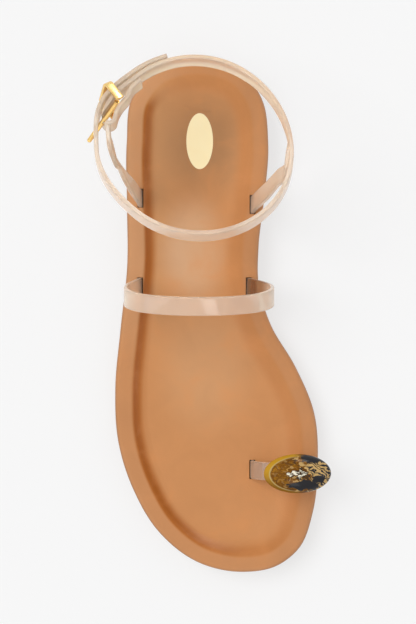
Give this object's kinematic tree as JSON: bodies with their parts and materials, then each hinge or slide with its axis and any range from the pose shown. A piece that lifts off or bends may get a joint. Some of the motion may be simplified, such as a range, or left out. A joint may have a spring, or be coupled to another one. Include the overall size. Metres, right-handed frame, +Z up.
{
  "type": "flat strap sandal",
  "caption": "Flat sandal for a right foot: moulded footbed on a low sole, clear straps over big toe, instep and ankle, an oval stone on the toe strap and a small side buckle.",
  "frame": {"origin": "on the floor under the middle of the heel, at the heel's flat resting face", "axes": "+X towards the big toe's side, +Y towards the back of the heel, +Z up"},
  "size_m": [0.1141, 0.246, 0.0964],
  "materials": {
    "sole_rubber": "matt moulded rubber",
    "footbed_leather": "smooth tan leather with a satin sheen, burnished in its groove",
    "clear_nude": "clear glossy soft plastic with a nude tint",
    "amber_resin": "polished amber and dark brown marbled resin",
    "gold_metal": "polished light gold plate"
  },
  "bodies": {
    "root": {"outsole": "sole_rubber", "footbed": "footbed_leather", "toe_strap": "clear_nude", "instep_strap": "clear_nude", "ankle_strap": "clear_nude", "toe_stone": "amber_resin", "buckle_loop": "gold_metal", "buckle_prong": "gold_metal"}
  },
  "joints": []
}
